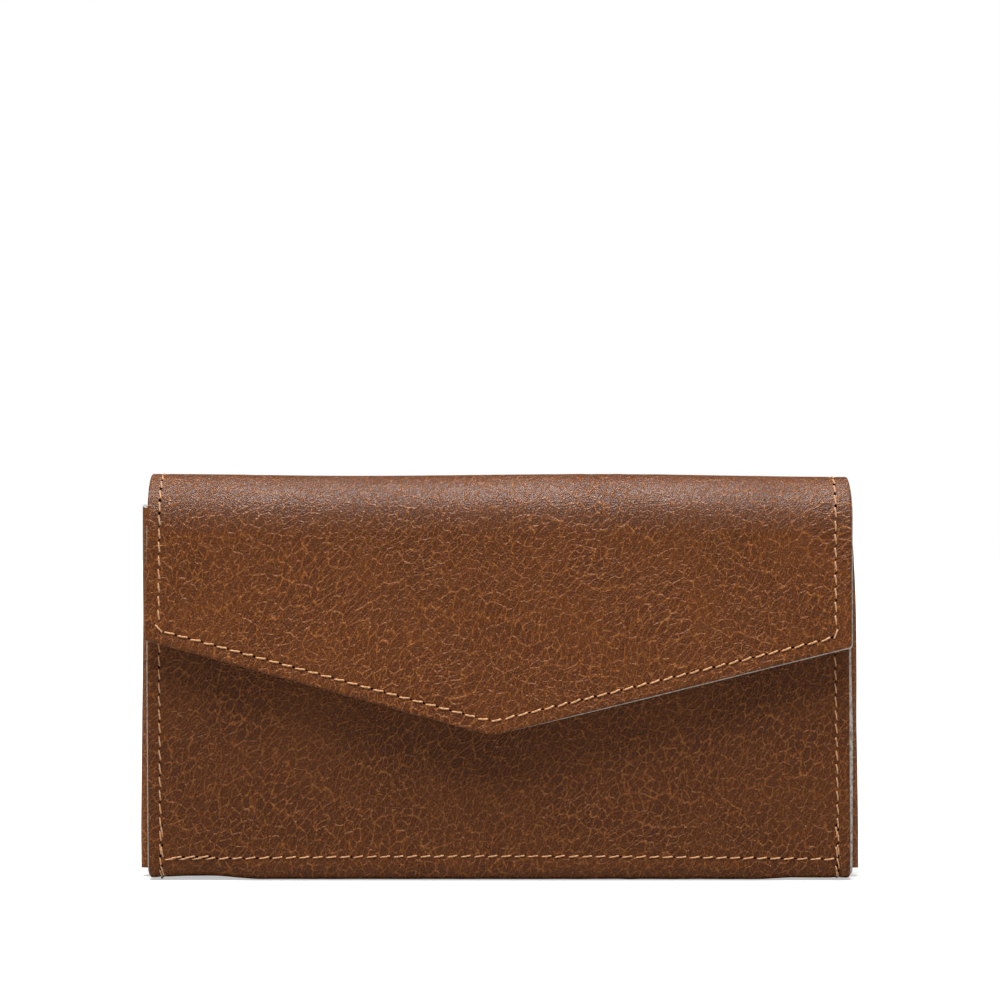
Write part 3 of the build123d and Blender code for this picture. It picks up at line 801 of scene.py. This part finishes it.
def sewing_tree():
    sockets = {"Seam": "Geometry", "Pitch": "Float", "Slant": "Float", "From": "Float", "To": "Float",
               "Wobble": "Float", "Seed": "Int", "Size": "Vector", "Stitch": "Object", "Hole": "Object",
               "Thread": "Material", "Dark": "Material"}
    tree, given = new_tree("lockstitch_along_a_seam", sockets, "Sewn")
    line = add(tree, "GeometryNodeMeshToCurve", {"Mesh": given["Seam"]})
    line = add(tree, "GeometryNodeResampleCurve", {"Curve": line, "Length": given["Pitch"]}, mode="LENGTH")
    along = add(tree, "GeometryNodeInputNamedAttribute", {"Name": "along"}, data_type="FLOAT")
    up = add(tree, "GeometryNodeInputNamedAttribute", {"Name": "up"}, data_type="FLOAT_VECTOR")
    after = add(tree, "FunctionNodeCompare", {"A": along, "B": given["From"]}, operation="GREATER_EQUAL")
    before = add(tree, "FunctionNodeCompare", {"A": along, "B": given["To"]}, operation="LESS_THAN")
    here = add(tree, "FunctionNodeBooleanMath", {0: after, 1: before}, operation="AND")
    upright = add(tree, "FunctionNodeAlignRotationToVector", {"Vector": up}, axis="Z")
    tangent = add(tree, "GeometryNodeInputTangent")
    ahead = add(tree, "FunctionNodeAlignRotationToVector", {"Rotation": upright, "Vector": tangent},
                axis="X", pivot_axis="Z")
    less = add(tree, "ShaderNodeMath", {0: given["Slant"], 1: given["Wobble"]}, operation="SUBTRACT")
    more = add(tree, "ShaderNodeMath", {0: given["Slant"], 1: given["Wobble"]}, operation="ADD")
    angle = add(tree, "FunctionNodeRandomValue", {2: less, 3: more, "Seed": given["Seed"]}, data_type="FLOAT")
    spin = add(tree, "FunctionNodeAxisAngleToRotation", {"Axis": (0, 0, 1), "Angle": angle.outputs[1]})
    slanted = add(tree, "FunctionNodeRotateRotation", {"Rotation": ahead, "Rotate By": spin},
                  rotation_space="LOCAL")
    sewn = []
    for template, rotation, finish in (("Stitch", slanted, "Thread"), ("Hole", ahead, "Dark")):
        shape = add(tree, "GeometryNodeObjectInfo", {"Object": given[template]})
        set_out = {"Points": line, "Selection": here, "Instance": shape.outputs["Geometry"],
                   "Rotation": rotation, "Scale": given["Size"]}
        set_out = add(tree, "GeometryNodeInstanceOnPoints", set_out)
        real = add(tree, "GeometryNodeRealizeInstances", {"Geometry": set_out})
        sewn.append(add(tree, "GeometryNodeSetMaterial", {"Geometry": real, "Material": given[finish]}))
    both = add(tree, "GeometryNodeJoinGeometry")
    for part in sewn:
        tree.links.new(part.outputs[0], both.inputs[0])
    add(tree, "NodeGroupOutput", {"Sewn": both})
    return tree


sewing = sewing_tree()
print("sewing tree has", len(sewing.nodes), "nodes")

# %% [markdown]
# ## Sewing a seam
#
# A seam is drawn as bare edges. Each point also carries the leather's outward direction and its place
# along the hide, which the tree reads. The tree's result is then taken as a plain mesh, so what is
# left is thread and nothing live.

# %% Sew a seam
SLANT = math.radians(8)
WOBBLE = math.radians(2.5)
FULL = (1.0, 1.0, 1.0)
SUNK = (1.0, 0.82, 0.9)


def run_tree(name, tree, base, inputs):
    """Puts a geometry tree on a copy of base and returns what it makes as a plain mesh piece."""
    bench = new_piece(name + "_bench", base)
    modifier = bench.modifiers.new("tree", "NODES")
    modifier.node_group = tree
    for item in tree.interface.items_tree:
        if item.in_out == "INPUT" and item.name in inputs:
            modifier[item.identifier] = inputs[item.name]
    bpy.context.view_layer.update()
    made = bench.evaluated_get(bpy.context.evaluated_depsgraph_get())
    mesh = bpy.data.meshes.new_from_object(made)
    bpy.data.objects.remove(bench)
    mesh.name = name
    return new_piece(name, mesh)


def seam_mesh(lines):
    """An edge mesh from seam lines: each has points in mm, outward directions and lengths along the hide."""
    mesh = bpy.data.meshes.new("seam")
    points, ups, along, edges = [], [], [], []
    for line, up, length in lines:
        edges += [(len(points) + k, len(points) + k + 1) for k in range(len(line) - 1)]
        points += (line * MM).tolist()
        ups += up.tolist()
        along += list(length)
    mesh.from_pydata(points, edges, [])
    mesh.attributes.new("up", "FLOAT_VECTOR", "POINT").data.foreach_set("vector", np.ravel(ups))
    mesh.attributes.new("along", "FLOAT", "POINT").data.foreach_set("value", np.array(along, np.float32))
    return mesh


def sew(name, lines, low=-1e6, high=1e6, seed=1, slant=SLANT, size=FULL):
    inputs = {"Pitch": PITCH * MM, "Slant": slant, "From": float(low), "To": float(high), "Wobble": WOBBLE,
              "Seed": seed, "Size": size, "Stitch": stitch, "Hole": hole, "Thread": thread, "Dark": painted_needle_hole}
    return run_tree(name, sewing, seam_mesh(lines), inputs)


def hide_line(x, v, inside=False):
    """A seam on the hide's outer face, or on the lining's face."""
    x, v = np.broadcast_arrays(np.asarray(x, float), np.asarray(v, float))
    nudge = 0.05

    def face(px, pv):
        if inside:
            return hide(px, pv, LEATHER + LINING)
        return hide(px, pv, 0, face_relief(px, pv))

    across = face(x + nudge, v) - face(x - nudge, v)
    along = face(x, v + nudge) - face(x, v - nudge)
    up = np.cross(across, along) * (-1 if inside else 1)
    return face(x, v), up / np.linalg.norm(up, axis=-1, keepdims=True), v


print("stitch pitch", PITCH, "mm,", round(25.4 / PITCH, 1), "to the inch")

# %% [markdown]
# ## The seams of the hide
#
# One row runs up one side of the hide, along the flap's V and down the other side without a break. A
# second closes the foot of the front and a third binds its top edge. At the foot's two corners the
# machine went back over its last stitches, so there the thread lies doubled. The same rows show on
# the lining, as the underside of the lockstitch.

# %% Sew the hide
def side_row(side, first, last, aside=0.0):
    """A row down one side of the hide."""
    v = np.arange(first, last, 0.5)
    return side * (HALF - row_inset(side, v) - aside), v


def joined(*rows):
    """One seam from several runs of x and v, end to end."""
    return [np.concatenate(parts) for parts in zip(*rows)]


SEAM_END = HIDE_END - ROW_INSET
TACK_ASIDE = 0.45
TACK_ABOVE = 0.5
corner_v = [float(flap_edge(np.array(side * (HALF - ROW_INSET)))) + ROW_INSET for side in (-1, 1)]
left_x, left_v = side_row(-1, corner_v[0], SEAM_END)
right_x, right_v = side_row(1, corner_v[1], SEAM_END)
vee_x = np.linspace(left_x[0], right_x[0], 400)[1:-1]
foot_half = HALF - ROW_INSET - 0.6 * PITCH
foot_x = np.linspace(-foot_half, foot_half, 400)
top_x = np.linspace(left_x[-1] + PITCH, right_x[-1] - PITCH, 400)
hide_seams = [
    joined((left_x[::-1], left_v[::-1]), (vee_x, flap_edge(vee_x) + ROW_INSET * 1.03), (right_x, right_v)),
    (foot_x, front_row(foot_x)),
    (top_x, np.full_like(top_x, SEAM_END)),
]
seams = [hide_line(x, v) for x, v in hide_seams]
under = [hide_line(x, v, inside=True) for x, v in hide_seams]
foot_v = float(front_row(np.array(HALF - ROW_INSET)))
for side in (-1, 1):
    seams.append(hide_line(*side_row(side, foot_v - PITCH, foot_v + 2.1 * PITCH, TACK_ASIDE)))
doubled = np.linspace(-HALF + ROW_INSET + 1.1 * PITCH, -HALF + ROW_INSET + 3.1 * PITCH, 30)
seams.append(hide_line(doubled, front_row(doubled) + TACK_ABOVE))
sewn_count = 0
for layer, lines, slant in (("seam", seams, SLANT), ("lining_seam", under, -SLANT)):
    for number, (strip, low, high) in enumerate(zip(STRIPS, CUTS, CUTS[1:])):
        size = SUNK if strip in ("front", "bottom") else FULL
        piece = sew(f"{strip}_{layer}", lines, low, high, seed=number + 1, slant=slant, size=size)
        bend_with(piece, strip)
        sewn_count += len(piece.data.polygons)
print("thread faces:", sewn_count)

# %% [markdown]
# ## The seams of the pocket
#
# Three card slots overlap on the pocket's front wall, each one a little higher than the one in front
# of it. A row along the foot closes them, and a row up the middle holds all three, so it steps back
# with them. At the sides the row goes through the gusset's lap as well, front and rear, and that's
# what hangs the pocket between the gussets. The zip's tapes are sewn on just under the pocket's mouth.

# %% Sew the pocket
SIDE_ROW_X = 87.8
MOUTH_ROW_Z = 84.0
card_slots = [box_mm(f"card_slot_{which}") for which in ("lower", "middle", "upper")]
wall_front = box_mm("coin_pocket_front_wall")[0].y
wall_rear = box_mm("coin_pocket_rear_wall")[1].y


def slot_face(z):
    """The front face of the card slots at a height: it steps back at each slot's top edge."""
    (lower, lower_top), (middle, middle_top), (upper, _) = card_slots
    return np.select([z < lower_top.z, z < middle_top.z], [lower.y, middle.y], upper.y)


def pocket_line(x, y, z, facing):
    """A seam on the pocket. Facing is -1 towards the front and 1 towards the back."""
    line = np.stack(np.broadcast_arrays(x, y, z), -1).astype(float)
    return line, np.tile([0.0, facing, 0.0], (len(line), 1)), np.zeros(len(line))


up_side = np.arange(gusset_low + 4, MOUTH_ROW_Z + 1, 0.5)
up_middle = np.arange(card_slots[0][0].z + 2, card_slots[2][1].z - 1, 0.5)
pocket_seams = [
    pocket_line(0.0, slot_face(up_middle - STITCH / 2), up_middle, -1),
    pocket_line(np.arange(4 - VALLEY, VALLEY - 4, 0.5), card_slots[0][0].y, card_slots[0][0].z + 2, -1),
]
for side in (-1, 1):
    pocket_seams.append(pocket_line(side * SIDE_ROW_X, FRONT_LAP_Y - GUSSET / 2, up_side, -1))
    pocket_seams.append(pocket_line(side * SIDE_ROW_X, REAR_LAP_Y + GUSSET / 2, up_side, 1))
for face, facing in ((wall_front, -1), (wall_rear, 1)):
    pocket_seams.append(pocket_line(np.arange(4 - VALLEY, VALLEY - 4, 0.5), face, MOUTH_ROW_Z, facing))
pocket_seam = sew("pocket_seam", pocket_seams, seed=9, slant=0.0, size=SUNK)
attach(pocket_seam, "pocket")
print("pocket seams:", len(pocket_seams), "rows,", len(pocket_seam.data.polygons), "faces")

# %% [markdown]
# The sewing is done, so the two templates go. They were never part of the wallet.

# %% Put the templates away
for template in (stitch, hole):
    bpy.data.objects.remove(template)

# %% [markdown]
# ## The zip's coil
#
# A wallet's zip is a coil zip: each side is one nylon thread wound into a flattened spiral, and the two
# spirals mesh with their turns half a pitch apart. One turn is modelled and repeated along the zip,
# and the ends of neighbouring turns are merged, so that each side is one unbroken coil.

# %% One turn of the coil
COIL_PITCH = 1.25
COIL_WIRE = 0.2
COIL_WIDTH = 1.0
COIL_HEIGHT = 0.55
TURN_POINTS = 12
WIRE_SIDES = 5


def coil_turn(name, phase):
    """One turn of a flattened spiral about X, as an open tube."""
    angle = np.linspace(0, 2 * math.pi, TURN_POINTS + 1) + phase
    x = np.linspace(-0.5, 0.5, TURN_POINTS + 1) * COIL_PITCH
    centre = np.stack([x, COIL_WIDTH * np.cos(angle), COIL_HEIGHT * np.sin(angle)], -1)
    ahead = np.stack([np.full_like(angle, COIL_PITCH / (2 * math.pi)), -COIL_WIDTH * np.sin(angle),
                      COIL_HEIGHT * np.cos(angle)], -1)
    ahead /= np.linalg.norm(ahead, axis=-1, keepdims=True)
    aside = np.cross(ahead, [1.0, 0.0, 0.0])
    aside /= np.linalg.norm(aside, axis=-1, keepdims=True)
    above = np.cross(ahead, aside)
    round_wire = 2 * math.pi * np.arange(WIRE_SIDES)[:, None] / WIRE_SIDES
    rings = aside[:, None] * np.cos(round_wire) + above[:, None] * np.sin(round_wire)
    return tube(name, centre[:, None] + COIL_WIRE * rings, capped=False)


turns = [coil_turn(f"turn_{word}", phase) for word, phase in (("front", 0.0), ("rear", math.pi))]
print("one turn has", len(turns[0].data.polygons), "faces")

# %% [markdown]
# The tree puts one turn at each point of a line, makes the turns real and merges them where they meet.
# The two coils differ only in the side of the middle they lie on and in their phase, so that they mesh.

# %% Wind the coils
def coil_tree():
    sockets = {"Line": "Geometry", "Turns": "Int", "Start": "Vector", "Step": "Vector", "Turn": "Object",
               "Merge": "Float", "Nylon": "Material"}
    tree, given = new_tree("coil_along_a_line", sockets, "Coil")
    line = add(tree, "GeometryNodeMeshLine", {"Count": given["Turns"], "Start Location": given["Start"],
                                              "Offset": given["Step"]})
    turn = add(tree, "GeometryNodeObjectInfo", {"Object": given["Turn"]})
    row = add(tree, "GeometryNodeInstanceOnPoints", {"Points": line, "Instance": turn.outputs["Geometry"]})
    row = add(tree, "GeometryNodeRealizeInstances", {"Geometry": row})
    row = add(tree, "GeometryNodeMergeByDistance", {"Geometry": row, "Distance": given["Merge"]})
    row = add(tree, "GeometryNodeSetMaterial", {"Geometry": row, "Material": given["Nylon"]})
    add(tree, "NodeGroupOutput", {"Coil": row})
    return tree


def nylon_monofilament():
    material, tree, shader = new_material("nylon_monofilament")
    streaks = noise(tree, object_place(tree), 900, 2.0)
    tone = two_tone(tree, streaks, "#3d2617", "#5f412c")
    connect(tree, shader, {"Base Color": tone, "Roughness": 0.32})
    return material


winding = coil_tree()
nylon = nylon_monofilament()
for word, turn, aside in (("front", turns[0], -1), ("rear", turns[1], 1)):
    low, high = box_mm(f"zip_teeth_{word}")
    count = int((high.x - low.x) / COIL_PITCH)
    centre_y = POCKET_Y + aside * (COIL_WIDTH - COIL_WIRE)
    start = (-(count - 1) * COIL_PITCH / 2 * MM, centre_y * MM, (low.z + high.z) / 2 * MM)
    inputs = {"Turns": count, "Start": start, "Step": (COIL_PITCH * MM, 0.0, 0.0), "Turn": turn,
              "Merge": 0.02 * MM, "Nylon": nylon}
    coil = run_tree(f"zip_coil_{word}", winding, bpy.data.meshes.new("line"), inputs)
    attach(coil, "pocket")
    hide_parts(f"zip_teeth_{word}")
    print(coil.name, count, "turns,", len(coil.data.polygons), "faces")
for turn in turns:
    bpy.data.objects.remove(turn)

# %% [markdown]
# ## Brass, nickel and tape
#
# The slider, pull, stops and snap are die-cast and turned parts with a light gold plating: bright,
# with the faint ripple that polishing leaves. The magnet is nickel-plated. The tape is woven
# polyester, dyed to match.

# %% Hardware materials
def plated(name, code, roughness):
    material, tree, shader = new_material(name)
    ripple = noise(tree, object_place(tree), 600, 3.0)
    worn = {"Value": ripple, "To Min": roughness - 0.07, "To Max": roughness + 0.1}
    worn = add(tree, "ShaderNodeMapRange", worn)
    bump = add(tree, "ShaderNodeBump", {"Height": ripple, "Distance": 0.01 * MM})
    connect(tree, shader, {"Base Color": colour(code), "Metallic": 1.0, "Roughness": worn, "Normal": bump})
    return material


def woven_tape():
    material, tree, shader = new_material("woven_polyester_tape")
    lean = {"Vector": object_place(tree), "Rotation": (0.0, math.radians(45), 0.0)}
    lean = add(tree, "ShaderNodeMapping", lean)
    twill = add(tree, "ShaderNodeTexWave", {"Vector": lean, "Scale": 620, "Distortion": 1.5}, wave_type="BANDS")
    tone = two_tone(tree, twill, "#2f1d12", "#5b3b27")
    bump = add(tree, "ShaderNodeBump", {"Height": twill, "Distance": 0.08 * MM})
    connect(tree, shader, {"Base Color": tone, "Normal": bump, "Roughness": 0.8, "Sheen Weight": 0.4})
    return material


brass = plated("light_gold_plated_brass", "#d9b271", 0.28)
nickel = plated("nickel_plated_magnet", "#b9b7b2", 0.3)
tape_cloth = woven_tape()
FINISHES = {
    "zip_slider": brass, "zip_pull": brass, "zip_top_stop": brass, "zip_bottom_stop": brass,
    "snap_stud": brass, "snap_socket": brass, "snap_stud_washer": brass, "snap_socket_washer": brass,
    "snap_magnet": nickel, "zip_tape_front": tape_cloth, "zip_tape_rear": tape_cloth,
    "card_slot_lower": pocket_calf, "card_slot_middle": pocket_calf, "card_slot_upper": pocket_calf,
    "coin_pocket_front_wall": pocket_calf, "coin_pocket_rear_wall": pocket_calf,
}
for node, finish in FINISHES.items():
    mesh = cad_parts[node].data
    mesh.materials.clear()
    mesh.materials.append(finish)
print("finished", len(FINISHES), "CAD pieces")

# %% [markdown]
# ## Softened edges
#
# No cast or cut edge is perfectly sharp, and a softened one catches a line of light. A CAD piece comes
# as loose triangles, so it's welded first and then gets a narrow bevel along its sharp edges only.

# %% Soften the edges
BEVELS = {brass: 0.12, nickel: 0.12, pocket_calf: 0.2}
to_soften = [(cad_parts[node], BEVELS[finish]) for node, finish in FINISHES.items() if finish in BEVELS]
for piece, width in to_soften:
    piece.modifiers.new("weld", "WELD").merge_threshold = 0.001 * MM
    bevel = piece.modifiers.new("bevel", "BEVEL")
    bevel.width = width * MM
    bevel.segments = 2
    bevel.limit_method = "ANGLE"
    bevel.angle_limit = math.radians(40)
print("softened", len(to_soften), "pieces")

# %% [markdown]
# ## Floor, light and camera
#
# The wallet stands on a white sweep in a white studio. The room itself gives a little fill. One large
# soft light high above and in front draws the highlight along the top fold and leaves the flap's own
# soft shadow on the front. A white background has to come out pure white, so the paper and the room
# are brighter for the camera than they are for the light they throw on the leather.

# %% Studio
FLOOR_REACH = 4.0
FLOOR_GLOW = 0.5


def studio_floor():
    """A sheet of white paper. It glows a little for the camera alone, which lifts it to pure white."""
    mesh = bpy.data.meshes.new("studio_floor")
    corners = [(x * FLOOR_REACH, y * FLOOR_REACH, 0) for x, y in ((-1, -1), (1, -1), (1, 1), (-1, 1))]
    mesh.from_pydata(corners, [], [(0, 1, 2, 3)])
    material, tree, shader = new_material("white_sweep_paper")
    ray = add(tree, "ShaderNodeLightPath")
    glow = add(tree, "ShaderNodeMath", {0: ray.outputs["Is Camera Ray"], 1: FLOOR_GLOW}, operation="MULTIPLY")
    connect(tree, shader, {"Base Color": colour("#bcbcbc"), "Roughness": 0.9, "Emission Color": (1, 1, 1, 1),
                           "Emission Strength": glow})
    mesh.materials.append(material)
    new_piece("studio_floor", mesh)


def overhead_light(elevation, softness, strength):
    """One wide soft source, far enough away to light the whole sweep evenly. Angles are in degrees."""
    light = bpy.data.lights.new("overhead_softbox", "SUN")
    light.energy, light.angle = strength, math.radians(softness)
    lamp = bpy.data.objects.new("overhead_softbox", light)
    bpy.context.scene.collection.objects.link(lamp)
    rise = math.radians(elevation)
    toward = Vector((0.06, math.cos(rise), -math.sin(rise)))
    lamp.rotation_euler = toward.to_track_quat("-Z", "Y").to_euler()


def white_studio(fill, mirrored):
    """A white room behind the wallet, which gives a little fill light and shows less still in gloss."""
    world = bpy.data.worlds.new("white_studio")
    world.use_nodes = True
    tree = world.node_tree
    ray = add(tree, "ShaderNodeLightPath")
    dimmed = {"Value": ray.outputs["Is Glossy Ray"], "To Min": fill, "To Max": mirrored}
    dimmed = add(tree, "ShaderNodeMapRange", dimmed)
    strength = add(tree, "ShaderNodeMapRange", {"Value": ray.outputs["Is Camera Ray"], "To Min": dimmed})
    connect(tree, tree.nodes["Background"], {"Strength": strength, "Color": (1, 1, 1, 1)})
    bpy.context.scene.world = world


studio_floor()
overhead_light(elevation=75, softness=30, strength=5.4)
white_studio(fill=0.25, mirrored=0.1)
bpy.context.scene.view_settings.view_transform = "Standard"

camera_data = bpy.data.cameras.new("camera")
camera_data.lens = 99.8
camera_data.sensor_width = 36
camera = bpy.data.objects.new("camera", camera_data)
bpy.context.scene.collection.objects.link(camera)
camera.location = (0.0001, -0.757, 0.1031)
camera.rotation_euler = (math.pi / 2, 0, 0)
bpy.context.scene.camera = camera
print("camera", round(-camera.location.y * 1000 + front_low.y), "mm in front of the front")
